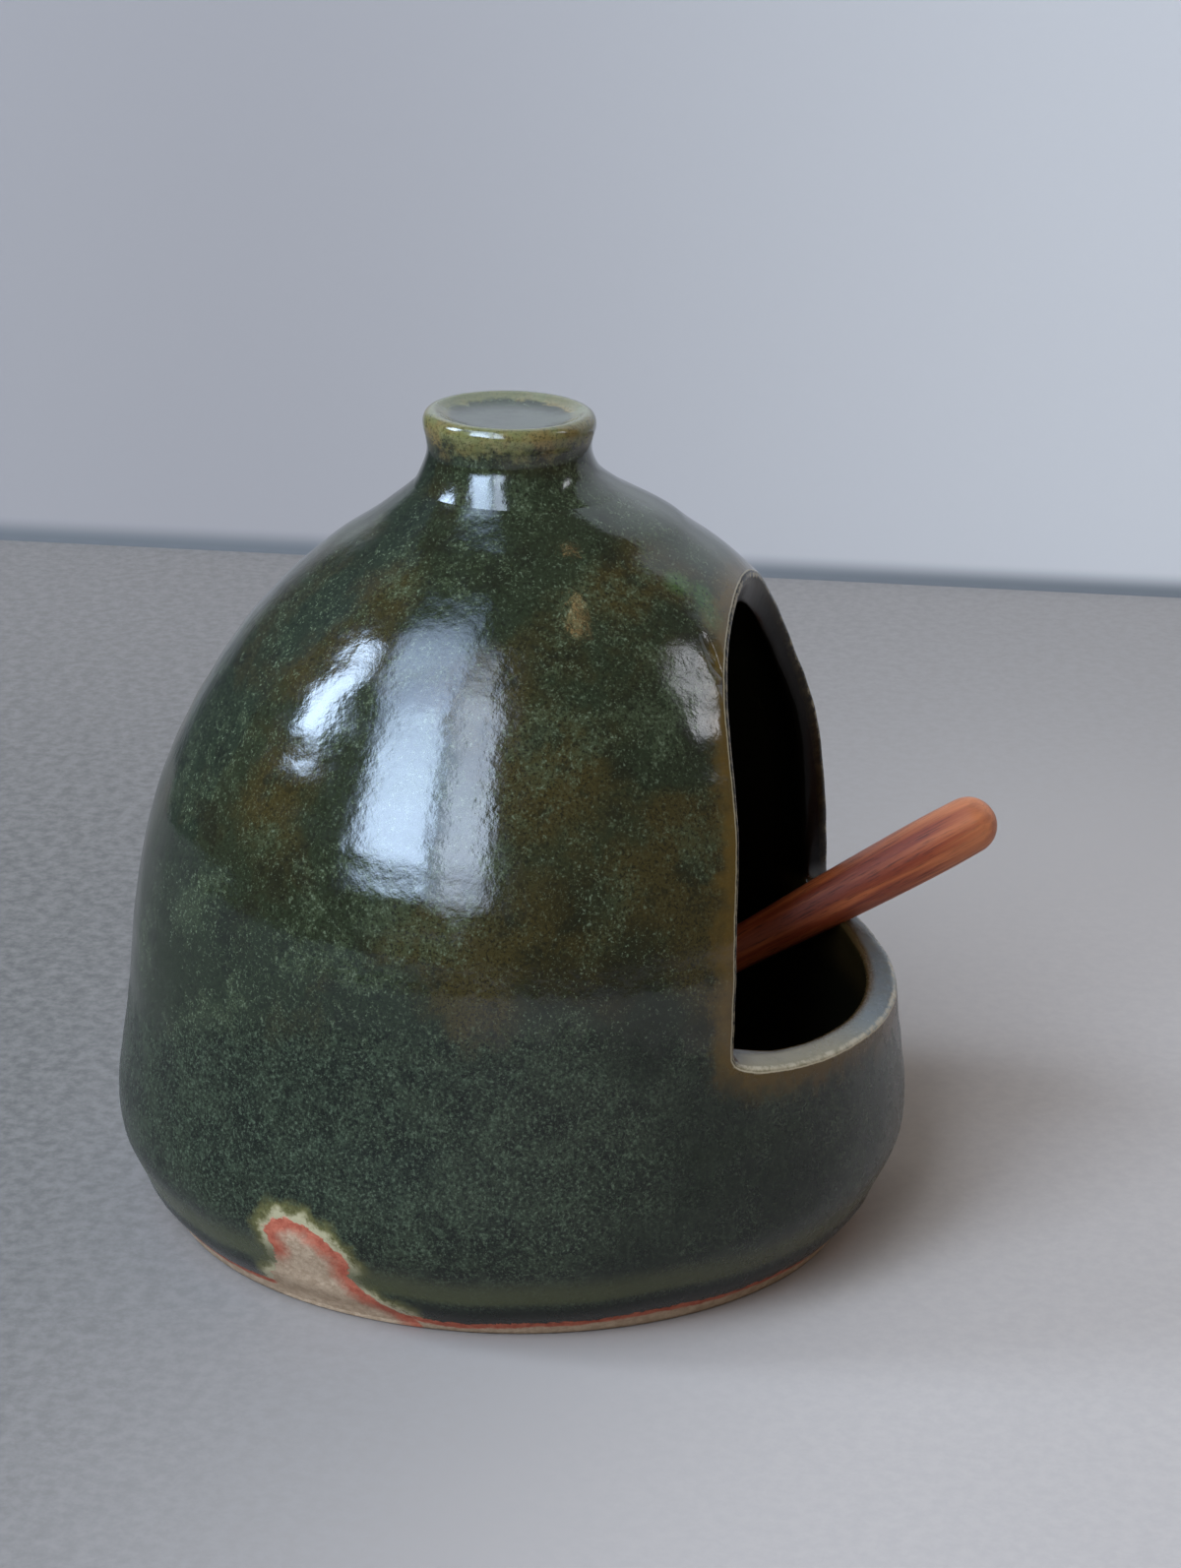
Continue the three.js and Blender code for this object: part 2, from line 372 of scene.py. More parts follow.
def turned_rows(line, turn):
    """Rows of points round the axis for a line of (radius, height): the radius gains the
    front's swell, which dies away towards the axis."""
    height = np.repeat(line[:, 1:], len(turn), axis=1)
    radius = line[:, :1] + front_swell(turn, height) * np.clip(line[:, :1] / AXIS_WIDTH, 0.0, 1.0)
    return np.stack([radius * np.sin(turn), -radius * np.cos(turn), height], axis=-1)


foot_line = np.vstack([
    even_steps([(POLE_RADIUS, 0.0), (FOOT_RADIUS, 0.0)], 12),
    bezier((FOOT_RADIUS, 0.0), (52.0, 0.0), OUTSIDE[0], 6)[1:-1],
])
seat_line = np.vstack([
    bezier(OUTSIDE[-1], (13.1, SEAT_HEIGHT), (SEAT_RADIUS, SEAT_HEIGHT), 3)[1:],
    even_steps([(SEAT_RADIUS, SEAT_HEIGHT), (POLE_RADIUS, SEAT_HEIGHT)], 6)[1:],
])
floor_line = np.vstack([
    even_steps([(POLE_RADIUS, FLOOR_TOP), (FLOOR_RADIUS, FLOOR_TOP)], 11),
    bezier((FLOOR_RADIUS, FLOOR_TOP), (54.6, FLOOR_TOP), INSIDE[0], 13)[1:-1],
])
outer_rows = np.concatenate([
    turned_rows(foot_line, pot_turn), outer_grid, turned_rows(seat_line, pot_turn),
])
inner_rows = np.concatenate([turned_rows(floor_line, pot_turn), inner_grid])


def grid_faces(start, hole, outward=True):
    """Corners of every square between neighbouring rows and columns of a grid that closes
    on itself, but for those marked as its hole."""
    columns = hole.shape[1]
    row, column = np.nonzero(~hole[:-1])
    beside = (column + 1) % columns
    corner = start + np.stack([
        row * columns + column, row * columns + beside,
        (row + 1) * columns + beside, (row + 1) * columns + column,
    ], axis=1)
    return corner if outward else corner[:, ::-1]


outer_full_hole = np.pad(outer_hole, ((len(foot_line), len(seat_line)), (0, 0)))
inner_full_hole = np.pad(inner_hole, ((len(floor_line), 0), (0, 0)))
inner_start = outer_rows.shape[0] * POT_COLUMNS
outer_ring_points = (outer_ring[0] + len(foot_line)) * POT_COLUMNS + outer_ring[1]
inner_ring_points = inner_start + (inner_ring[0] + len(floor_line)) * POT_COLUMNS + inner_ring[1]

# The rim of the mouth: a round shoulder from the outside, a flat face, a round shoulder in.
SHOULDER = 1.5
SHOULDER_SHARE = 0.32
ROUND_ROWS = 6
FACE_ROWS = 5
across = inner_edge - outer_edge
wide = np.linalg.norm(across, axis=1)[:, None]
shoulder = np.minimum(SHOULDER, wide * SHOULDER_SHARE)
outer_shoulder = outer_edge + across / wide * shoulder
inner_shoulder = inner_edge - across / wide * shoulder
outer_drawn = outer_rows.reshape(-1, 3)[outer_ring_points]
inner_drawn = inner_rows.reshape(-1, 3)[inner_ring_points - inner_start]
rim_rows = np.concatenate([
    bezier(outer_drawn, outer_edge, outer_shoulder, ROUND_ROWS)[1:],
    bezier(outer_shoulder, (outer_shoulder + inner_shoulder) / 2, inner_shoulder, FACE_ROWS)[1:],
    bezier(inner_shoulder, inner_edge, inner_drawn, ROUND_ROWS)[1:-1],
])
rim_start = inner_start + inner_rows.shape[0] * POT_COLUMNS
ring_count = len(outer_edge)
rim_index = rim_start + np.arange(rim_rows.shape[0] * ring_count).reshape(rim_rows.shape[0], ring_count)
rim_index = np.vstack([outer_ring_points, rim_index, inner_ring_points])
rim_next = np.roll(rim_index, -1, axis=1)
rim_faces = np.stack([rim_index[:-1], rim_next[:-1], rim_next[1:], rim_index[1:]], axis=-1).reshape(-1, 4)

poles = np.array([(0.0, 0.0, height) for height in (0.0, SEAT_HEIGHT, FLOOR_TOP, CROWN_HEIGHT)])
pole_start = rim_start + rim_rows.shape[0] * ring_count
pot_points = np.concatenate([rows.reshape(-1, 3) for rows in (outer_rows, inner_rows, rim_rows, poles)])


def fan(first, columns, point, upward):
    """Triangles from a ring of points to one point."""
    here = first + np.arange(columns)
    beside = np.roll(here, -1)
    pair = (here, beside) if upward else (beside, here)
    return np.stack([*pair, np.full(columns, point)], axis=1)


pot_quads = np.concatenate([
    grid_faces(0, outer_full_hole),
    grid_faces(inner_start, inner_full_hole, outward=False),
    rim_faces,
])
pot_triangles = np.concatenate([
    fan(0, POT_COLUMNS, pole_start, False),
    fan(inner_start - POT_COLUMNS, POT_COLUMNS, pole_start + 1, True),
    fan(inner_start, POT_COLUMNS, pole_start + 2, True),
    fan(rim_start - POT_COLUMNS, POT_COLUMNS, pole_start + 3, False),
])
used = np.zeros(len(pot_points), bool)
used[pot_quads] = True
used[pot_triangles] = True
renumber = np.cumsum(used) - 1
is_outer = np.arange(len(pot_points)) < inner_start
is_rim = (np.arange(len(pot_points)) >= rim_start) & (np.arange(len(pot_points)) < pole_start)
pot_points = pot_points[used]
pot_quads = renumber[pot_quads]
pot_triangles = renumber[pot_triangles]
is_outer = is_outer[used]
is_rim = is_rim[used]

# The dent beside the mouth: its place, the ways its hollow runs, and its size along them.
DENT_PLACE = np.array([-24.6, -30.6, 91.0])
DENT_FRAME = np.array([(0.49, 0.51, 0.71), (0.80, -0.60, 0.0), (0.43, 0.57, -0.70)])
DENT_SIZE = np.array([9.0, 4.0, 9.0])
DENT_DEPTH = 0.15
# The throwing rings, and the long and the short hollows: lengths and depths.
RING_GAP = 6.3
RING_DEPTH = 0.05
HOLLOW_LENGTH = 34.0
HOLLOW_DEPTH = 0.13
SHORT_LENGTH = 11.0
SHORT_DEPTH = 0.05


def swell(place):
    """How far the hand-thrown wall stands out from the even one, in millimetres: soft
    hollows, the throwing rings, and the dent that a thumb left beside the mouth."""
    turn = np.arctan2(place[:, 1], place[:, 0])
    rings = np.sin(2 * np.pi * place[:, 2] / RING_GAP + 0.8 * np.sin(turn + 1.0))
    soft = waves(place, HOLLOW_LENGTH, 3)
    short = waves(place, SHORT_LENGTH, 8)
    out = RING_DEPTH * rings * (0.6 + 0.4 * soft) + HOLLOW_DEPTH * soft + SHORT_DEPTH * short
    dent = np.exp(-(((place - DENT_PLACE) @ DENT_FRAME.T / DENT_SIZE) ** 2).sum(axis=1))
    return out - DENT_DEPTH * dent


GROUPS = 12


def far_from(line, points):
    """Each point's distance to the nearest point of a line, a group of points at a time."""
    far = [
        np.sqrt(((group[:, None] - line[None]) ** 2).sum(axis=-1)).min(axis=1)
        for group in np.array_split(points, GROUPS)
    ]
    return np.concatenate(far)


# Each point's distance to the edge of the cut: below zero on the cut face, and lower by
# the cut face's width inside the pot.
FACE_WIDTH = 3.0
pot_points = set_back(pot_points)
outer_edge = set_back(outer_edge)
edge_far = far_from(outer_edge, pot_points)
edge_mm = np.where(is_outer, edge_far, -edge_far)
edge_mm[~is_outer & ~is_rim] -= FACE_WIDTH

# The wall moves level low down, and upwards too over the dome. Its waves fade out at the
# foot and under the knob, and the floor has none.
DOME_START = 45.0
DOME_SHARE = 0.85
outward = pot_points * (1.0, 1.0, 0.0)
outward[:, 2] = np.maximum(pot_points[:, 2] - DOME_START, 0.0) * DOME_SHARE
outward /= np.maximum(np.linalg.norm(outward, axis=1), 1.0)[:, None]
thrown = np.clip((pot_points[:, 2] - 3.0) / 6.0, 0.0, 1.0)
thrown *= np.clip((SEAT_HEIGHT - 0.5 - pot_points[:, 2]) / 4.0, 0.0, 1.0)
thrown = np.where(is_outer | is_rim | (pot_points[:, 2] > 12.0), thrown, 0.0)
pot_points = pot_points + outward * (thrown * swell(pot_points))[:, None]

# The place where the glaze drew back, as (degrees round, height): it opens into the foot.
BARE_PATCH = np.array([
    (152.0, -4.0), (154.6, 4.6), (157.0, 8.0), (157.6, 11.5), (156.6, 14.6),
    (159.6, 17.2), (163.6, 16.9), (166.8, 15.3), (169.4, 13.0), (170.4, 10.6),
    (169.1, 9.4), (171.0, 7.0), (174.0, 4.6), (178.0, 2.4), (182.0, -4.0),
])
MM_PER_DEGREE = 1.03
# Where the second dip ends, as (degrees round, height), and the height at which all does.
DIP_END = [(0, 36), (126, 34), (161, 45.5), (204, 47.5), (218, 44.8), (232, 39.9), (360, 36)]
GLAZE_END = 3.1


def inside_distance(place, outline):
    """How deep each place lies inside a closed outline, and below zero outside it: the
    distance to the nearest side, signed by how often a level line crosses the outline."""
    nearest = np.full(len(place), np.inf)
    crossed = np.zeros(len(place), bool)
    for start, end in zip(outline, np.roll(outline, -1, axis=0)):
        side = end - start
        along = np.clip((place - start) @ side / (side @ side), 0.0, 1.0)
        nearest = np.minimum(nearest, np.linalg.norm(place - start - along[:, None] * side, axis=1))
        spans = (start[1] > place[:, 1]) != (end[1] > place[:, 1])
        rise = side[1] if side[1] else 1e-9
        crossed ^= spans & (place[:, 0] < start[0] + (place[:, 1] - start[1]) / rise * side[0])
    return np.where(crossed, nearest, -nearest)


around = np.degrees(np.arctan2(pot_points[:, 1], pot_points[:, 0])) % 360.0
unrolled = np.stack([around * MM_PER_DEGREE, pot_points[:, 2]], axis=1)
patch_mm = inside_distance(unrolled, BARE_PATCH * (MM_PER_DEGREE, 1.0))
turn = np.radians(around)
glaze_end = GLAZE_END + 0.45 * np.sin(3 * turn + 1.2) + 0.3 * np.sin(7 * turn + 0.4)
glaze_end += 0.15 * np.sin(17 * turn)
foot_mm = glaze_end - pot_points[:, 2]
overlap_end = np.interp(around, *np.transpose(DIP_END))

# The glaze ends in a thick roll just over the bare foot, and stands proud of the clay.
FOOT_ROLL, FOOT_SUNK = 0.35, 0.25
PATCH_ROLL, PATCH_SUNK = 0.12, 0.3
roll = FOOT_ROLL * np.exp(-((foot_mm + 2.2) / 1.5) ** 2)
roll -= FOOT_SUNK * np.clip(foot_mm * 2 + 0.5, 0.0, 1.0)
sunk = PATCH_ROLL * np.exp(-((patch_mm + 1.6) / 1.2) ** 2)
sunk -= PATCH_SUNK * np.clip(patch_mm * 1.4 + 0.5, 0.0, 1.0)
low = is_outer & (pot_points[:, 2] > 0.4) & (pot_points[:, 2] < 40)
pot_points[:, :2] += outward[:, :2] * np.where(low, roll + sunk, 0.0)[:, None]

FAR_OFF = 30.0
pot = new_mesh("pot", pot_points, pot_quads, pot_triangles)
note(pot, "edge_mm", edge_mm)
note(pot, "patch_mm", np.where(is_outer, patch_mm, -FAR_OFF))
note(pot, "foot_mm", np.where(is_outer, foot_mm, -FAR_OFF))
note(pot, "flush", np.maximum(eased(pot_points[:, 2], 7.5, 11.0), eased(around, 162.0, 166.0)))
note(pot, "over_mm", np.where(is_outer | is_rim, pot_points[:, 2] - overlap_end, FAR_OFF))
note(pot, "bead", np.zeros(len(pot_points)))
note(pot, "ring", np.zeros(len(pot_points)))

# Where the glaze broke amber and olive, where painted shade darkens the pot's shaded right
# side, and one run of leaf green: places and their sizes.
AMBER_PLACES = [
    ((-40.8, -31.5, 67.1), 7.0), ((-39.4, -33.6, 56.0), 7.0), ((-42.6, -14.6, 81.9), 7.0),
    ((-38.2, -33.0, 76.0), 5.0), ((-54.4, 0.3, 60.0), 8.0), ((-55.4, -7.0, 53.9), 7.0),
    ((-51.0, -18.4, 60.7), 7.0), ((-30.0, 18.0, 92.0), 8.0), ((-40.0, 24.0, 76.0), 8.0),
    ((-36.0, -2.0, 90.0), 6.0), ((-11.8, -21.4, 106.3), 4.5), ((-12.9, -26.0, 103.3), 5.0),
    ((-19.9, -20.4, 102.7), 4.5), ((-24.0, 14.0, 101.0), 7.0),
]
SHADE_PLACES = [
    ((-48.9, -20.6, 65.2), 6.0), ((-47.8, -27.5, 56.8), 8.0), ((-52.5, -18.1, 55.4), 7.0),
    ((-48.3, -29.9, 46.3), 8.0), ((-42.8, -39.0, 33.1), 11.0), ((-44.5, -39.0, 22.5), 11.0),
    ((-34.2, -48.5, 21.4), 12.0), ((-50.8, -30.6, 15.2), 8.0),
]
LEAF_PLACES = [
    ((-12.0, -29.5, 101.2), 2.6), ((-13.0, -30.7, 99.8), 2.6), ((-14.5, -31.9, 98.0), 2.4),
    ((-13.5, -26.5, 102.9), 2.8),
]


def spots(place, sized_places):
    """The largest of several bell curves, each round its own place and of its own size."""
    bells = [np.exp(-((place - centre) ** 2).sum(axis=1) / size ** 2) for centre, size in sized_places]
    return np.max(bells, axis=0)


note(pot, "amber", spots(pot_points, AMBER_PLACES))
# The deep mark holds where painted shade darkens the pot's shaded right side.
note(pot, "deep", spots(pot_points, SHADE_PLACES))
note(pot, "leaf", spots(pot_points, LEAF_PLACES))

# A fold in the skin beside the mouth, where the wire dragged the clay. Its distance is
# worked out for the points near it only.
FOLD = np.array([
    (-18.2, -31.3, 96.8), (-19.6, -32.6, 94.2), (-21.0, -34.1, 91.2), (-21.3, -35.2, 89.0),
    (-22.4, -36.0, 86.8),
])
FOLD_FAR = 9.0
FOLD_REACH = 14.0
fold_line = smooth_line(FOLD, 60)
fold_mm = np.full(len(pot_points), FOLD_FAR)
by_fold = np.linalg.norm(pot_points - FOLD.mean(axis=0), axis=1) < FOLD_REACH
fold_mm[by_fold] = far_from(fold_line, pot_points[by_fold])
note(pot, "fold_mm", np.where(is_outer, fold_mm, FOLD_FAR))
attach(pot, "pot")
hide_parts("pot_body")


def colour(text):
    """A hex sRGB colour as the linear one that a shader takes."""
    value = np.array([int(text[k:k + 2], 16) for k in (1, 3, 5)]) / 255
    value = np.where(value <= 0.04045, value / 12.92, ((value + 0.055) / 1.055) ** 2.4)
    return (*value.tolist(), 1.0)


def add(tree, kind, inputs=None, **settings):
    """Adds a node, sets it, and fills each input with a value or with another's output."""
    node = tree.nodes.new(kind)
    for name, value in settings.items():
        setattr(node, name, value)
    for name, value in (inputs or {}).items():
        if isinstance(value, bpy.types.NodeSocket):
            tree.links.new(value, node.inputs[name])
        else:
            node.inputs[name].default_value = value
    return node


def fresh_material(name):
    """A new material with an empty tree and its Principled shader, wired to the output."""
    material = bpy.data.materials.new(name)
    material.use_nodes = True
    tree = material.node_tree
    tree.nodes.clear()
    shader = add(tree, "ShaderNodeBsdfPrincipled")
    add(tree, "ShaderNodeOutputMaterial", {"Surface": shader.outputs[0]})
    return material, tree, shader


def cover(tree, *spans):
    """How far a layer covers a place: the product of its spans. A span is a share, or an
    amount with the two values between which its share runs smoothly, and then the shares
    that it runs from and to, 0 and 1 unless given."""
    whole = None
    for span in spans:
        if isinstance(span, tuple):
            amount, low, high, *ends = span
            least, most = ends or (0.0, 1.0)
            span = add(tree, "ShaderNodeMapRange", {
                "Value": amount, "From Min": low, "From Max": high, "To Min": least, "To Max": most,
            }, interpolation_type="SMOOTHSTEP").outputs[0]
        if whole is not None:
            span = add(tree, "ShaderNodeMath", {0: whole, 1: span}, operation="MULTIPLY").outputs[0]
        whole = span
    return whole


def coat(tree, under, over, *spans):
    """Lays one colour over another as far as the spans cover it. A colour is given as hex
    or as another coat."""
    under, over = (colour(paint) if isinstance(paint, str) else paint for paint in (under, over))
    share = cover(tree, *spans)
    return add(tree, "ShaderNodeMix", {0: share, 6: under, 7: over}, data_type="RGBA").outputs[2]


def frayed(tree, amount, cloud, low, high, least, most):
    """The amount made uneven: as the cloud runs from low to high, least to most is added."""
    fray = cover(tree, (cloud, low, high, least, most))
    return add(tree, "ShaderNodeMath", {0: amount, 1: fray}, operation="ADD").outputs[0]


# Iron green stoneware glaze, dipped twice and fired glossy over the shoulder and satin
# below: dark and clouded, with fine green crystals, breaking to brown and cream on edges.
glaze, tree, shader = fresh_material("stoneware_green_glaze")
place = add(tree, "ShaderNodeTexCoord").outputs["Object"]
along_lip, _, height = add(tree, "ShaderNodeSeparateXYZ", {0: place}).outputs
MARKS = (
    "edge_mm", "patch_mm", "foot_mm", "over_mm", "fold_mm",
    "amber", "deep", "leaf", "flush", "bead", "ring",
)
edge, patch, foot, over, fold, amber, deep, leaf, flush, bead, ring = (
    add(tree, "ShaderNodeAttribute", attribute_name=mark).outputs["Fac"] for mark in MARKS
)

# The clouds and grains in the glaze: millimetres across, detail, roughness, distortion.
CLOUDS = [
    (26.0, 2.0, 0.5, 0.5), (7.0, 5.0, 0.68, 0.3), (1.7, 4.0, 0.75, 0.0),
    (0.5, 2.5, 0.8, 0.0), (3.5, 4.0, 0.7, 0.0), (1.3, 3.0, 0.7, 0.0),
    (5.5, 2.0, 0.5, 0.0), (1.5, 3.0, 0.6, 0.0), (0.6, 2.0, 0.6, 0.0),
]
wide_cloud, mid_cloud, fine_cloud, crystals, broken, clay_cloud, dimples, ripples, grit = (
    add(tree, "ShaderNodeTexNoise", {
        "Vector": place, "Scale": 1 / (size * MM), "Detail": detail, "Roughness": rough, "Distortion": bent,
    }).outputs["Fac"]
    for size, detail, rough, bent in CLOUDS
)
DRIFT_SIZE = 12.0
DRIFT_PLACE = (0.31, 0.17, 0.05)
drift = add(tree, "ShaderNodeTexNoise", {
    "Vector": add(tree, "ShaderNodeMapping", {0: place, 1: DRIFT_PLACE}).outputs[0],
    "Scale": 1 / (DRIFT_SIZE * MM), "Detail": 3.0, "Roughness": 0.6, "Distortion": 0.2,
}).outputs["Fac"]

# The glossy upper glaze: olive, brown where it broke, with dark pools, pale haze, a run of
# leaf green and clustered crystals. Painted shade darkens it on the pot's shaded right side.
warm = frayed(tree, amber, wide_cloud, 0.42, 0.62, -0.25, 0.35)
warm = frayed(tree, warm, mid_cloud, 0.3, 0.7, -0.25, 0.25)
# Painted shade: the glaze is darkened on the pot's shaded right side, by up to six tenths.
painted_shade = cover(tree, (frayed(tree, deep, broken, 0.2, 0.8, -0.2, 0.2), 0.15, 0.95, 0.0, 0.6))
haze = add(tree, "ShaderNodeMath", {0: drift, 1: 0.9, 2: fine_cloud}, operation="MULTIPLY_ADD").outputs[0]
clusters = cover(
    tree, (crystals, 0.53, 0.68), (drift, 0.36, 0.62, 0.5, 0.95), (fine_cloud, 0.38, 0.6, 0.3, 1.0)
)
upper = coat(tree, "#1d2314", "#302810", (warm, 0.0, 0.8))
upper = coat(tree, upper, "#10140a", (mid_cloud, 0.50, 0.66, 0.0, 0.8))
upper = coat(tree, upper, "#2f3a26", (drift, 0.50, 0.62, 0.0, 0.15))
upper = coat(tree, upper, "#3b412a", (haze, 0.94, 1.12, 0.0, 0.4))
upper = coat(tree, upper, "#3c5c2c", (leaf, 0.2, 0.9, 0.0, 0.45))
# Painted shade on the shaded right side of the upper glaze.
upper = coat(tree, upper, "#0c1006", painted_shade)
upper = coat(tree, upper, "#5c624b", (clusters, 0.0, 1.0, 0.0, 0.88))
upper = coat(tree, upper, "#0a0c06", (crystals, 0.48, 0.37, 0.0, 0.75))

# The satin lower glaze, where the pot was dipped once, and the wavering overlap.
lower = coat(tree, "#151910", "#262b1d", (mid_cloud, 0.35, 0.66))
lower = coat(tree, lower, "#353e2c", (fine_cloud, 0.48, 0.64, 0.0, 0.5))
lower = coat(tree, lower, "#4f5742", (crystals, 0.52, 0.67, 0.0, 0.66))
lower = coat(tree, lower, "#080a06", (crystals, 0.48, 0.36, 0.0, 0.85))
# Painted shade on the shaded right side of the lower glaze.
lower = coat(tree, lower, "#0f140a", painted_shade)
twice = cover(tree, (frayed(tree, over, broken, 0.0, 1.0, -5.0, 5.0), -3.0, 4.0))
glazed = coat(tree, lower, upper, twice)

# Thin glaze at the mouth's edge: amber, then a cream ridge. The cut face is sponged, beige
# along the lip, grey further along it as a painted reflection and darker at its far end,
# and painted dark on the arch as painted shade, darkest towards the inside.
low_down = cover(tree, (height, 0.0420, 0.0395))
thinning = frayed(tree, edge, broken, 0.25, 0.75, -1.4, 1.4)
glazed = coat(tree, glazed, "#523c14", (thinning, 6.0, 0.6, 0.0, 0.9))
# Painted reflection: the lip's top turns grey along its far part, as if it mirrored the window.
lip_colour_and_reflection = coat(tree, "#7b6e52", "#616968", (along_lip, -0.024, -0.004))
lip_colour_and_reflection = coat(tree, lip_colour_and_reflection, "#3c3422", (along_lip, 0.012, 0.032))
lip_colour_and_reflection = coat(tree, lip_colour_and_reflection, "#5f5a42", (fine_cloud, 0.46, 0.70, 0.0, 0.4))
# Painted shade: the arch's cut face, turned away from the window, is painted darker than its brown, darkest
# towards the inside.
arch_colour_and_shade = coat(tree, "#1d170c", "#2f2614", (fine_cloud, 0.4, 0.62))
arch_colour_and_shade = coat(tree, arch_colour_and_shade, "#0b0906", (edge, -0.9, -2.6))
face_colour = coat(tree, arch_colour_and_shade, lip_colour_and_reflection, low_down)
ridge_colour = coat(tree, "#94866a", "#b0a084", low_down)
# Painted shade: the inner rounding is near black over the arch, and brown along the lip.
bevel_colour_and_shade = coat(tree, "#0b0906", "#46391f", low_down)
wavering = frayed(tree, edge, fine_cloud, 0.3, 0.7, -0.25, 0.25)
glazed = coat(tree, glazed, face_colour, (wavering, 0.75, 0.1))
glazed = coat(
    tree, glazed, ridge_colour,
    (wavering, 0.95, 0.35), (wavering, -0.75, -0.2), (fine_cloud, 0.34, 0.52, 0.7, 0.95),
)
glazed = coat(tree, glazed, bevel_colour_and_shade, (edge, -2.9, -3.9))
glazed = coat(tree, glazed, "#242217", (edge, -8.0, -14.0))
# Painted shade: a dark line along the fold's crease.
glazed = coat(tree, glazed, "#0d0b06", (fold, 0.9, 0.2, 0.0, 0.9))

# Round the patch the glaze pales to cream, and over the foot it runs olive, then dark.
halo = frayed(tree, patch, broken, 0.25, 0.75, -0.9, 0.9)
glazed = coat(tree, glazed, "#5e572f", (halo, -3.4, -0.8, 0.0, 0.95))
glazed = coat(tree, glazed, "#a39673", (halo, -1.7, -0.4))
glazed = coat(tree, glazed, "#424327", (foot, -10.0, -6.0), (foot, -3.4, -5.0, 0.0, 0.75))
glazed = coat(tree, glazed, "#0f120a", (foot, -4.6, -2.4), (patch, -2.0, -4.0, 0.0, 0.9))

# Bare clay at the foot and in the patch, flushed red along the glaze.
patch_red = cover(
    tree, (frayed(tree, patch, broken, 0.2, 0.8, -1.0, 1.0), 4.0, 1.0), flush, (patch, -0.5, 0.1)
)
foot_red = cover(tree, (frayed(tree, foot, broken, 0.2, 0.8, -0.3, 0.3), 1.3, 0.8), (patch, 0.2, -0.5))
flushed = add(tree, "ShaderNodeMath", {0: patch_red, 1: foot_red}, operation="MAXIMUM").outputs[0]
clay = coat(tree, "#9b8064", "#b2977a", (clay_cloud, 0.35, 0.65))
red_clay = coat(tree, "#95452f", "#b06046", (fine_cloud, 0.35, 0.65))
clay = coat(tree, clay, red_clay, flushed)
bare = add(tree, "ShaderNodeMath", {0: patch, 1: foot}, operation="MAXIMUM").outputs[0]
bareness = cover(tree, (frayed(tree, bare, fine_cloud, 0.3, 0.7, -0.35, 0.35), -0.12, 0.12))
shown = coat(tree, glazed, clay, bareness)

# Olive and brown where the glaze breaks over the knob's bead.
bead_colour = coat(tree, "#625f36", "#6b5830", (mid_cloud, 0.4, 0.6))
bead_colour = coat(tree, bead_colour, "#7a7049", (fine_cloud, 0.5, 0.66, 0.0, 0.6))
bead_colour = coat(tree, bead_colour, "#322c14", (crystals, 0.50, 0.36, 0.0, 0.7))
shown = coat(tree, shown, bead_colour, (frayed(tree, bead, broken, 0.3, 0.7, -0.35, 0.35), 0.35, 1.0))
shown = coat(tree, shown, "#5d5b43", (ring, 0.1, 1.0, 0.0, 0.7))
tree.links.new(shown, shader.inputs["Base Color"])

# Glossy above and satin below, duller on the sponged ridge and matt on bare clay.
gloss = frayed(tree, cover(tree, (twice, 0.0, 1.0, 0.26, 0.11)), broken, 0.3, 0.7, -0.02, 0.05)
for duller in ((wavering, 0.9, 0.2, 0.0, 0.24), (bareness, 0.0, 1.0, 0.0, 0.86)):
    gloss = add(tree, "ShaderNodeMath", {0: gloss, 1: cover(tree, duller)}, operation="MAXIMUM").outputs[0]
tree.links.new(gloss, shader.inputs["Roughness"])
shader.inputs["IOR"].default_value = 1.55
arch_face = cover(tree, (edge, 0.2, -0.6), (height, 0.0405, 0.0445))
shine = cover(tree, (arch_face, 0.0, 1.0, 0.5, 0.08), (twice, 0.0, 1.0, 0.62, 1.0))
tree.links.new(shine, shader.inputs["Specular IOR Level"])

# The skin's relief in millimetres: the fold, soft dimples, fine ripples, the clay's grit.
relief = cover(tree, (fold, 1.4, 0.0, 0.0, -0.35))
for bumps, depth in ((dimples, 0.08), (ripples, 0.04), (cover(tree, bareness, grit), 0.12)):
    relief = add(
        tree, "ShaderNodeMath", {0: bumps, 1: depth, 2: relief}, operation="MULTIPLY_ADD"
    ).outputs[0]
bump = add(tree, "ShaderNodeBump", {"Height": relief, "Distance": MM, "Strength": 1.0})
tree.links.new(bump.outputs[0], shader.inputs["Normal"])
pot.data.materials.append(glaze)


# The knob
# A waisted knob of the same clay, thrown off the hump and luted on while soft, with a
# rolled bead round a shallow dish. The glaze runs on over it and breaks brown on the bead.

KNOB_COLUMNS = 180
KNOB_LEAN = 0.6
KNOB_SWAY = 0.12
SKIRT_HEIGHT = 110.0
SKIRT_RADIUS = 15.2
DISH_HEIGHT = 120.88
DISH_EDGE = 10.6
KNOB_LINE = [
    (SKIRT_RADIUS, SKIRT_HEIGHT), (14.55, 111.05), (13.75, 112.4), (12.8, 114.2), (12.05, 116.4),
    (12.25, 118.6), (12.62, 120.2), (12.45, 121.4), (11.7, 122.15), (11.0, 122.25), (10.4, 122.0),
    (9.0, 121.4), (6.4, 120.95), (3.0, 120.9), (1.0, DISH_HEIGHT),
]

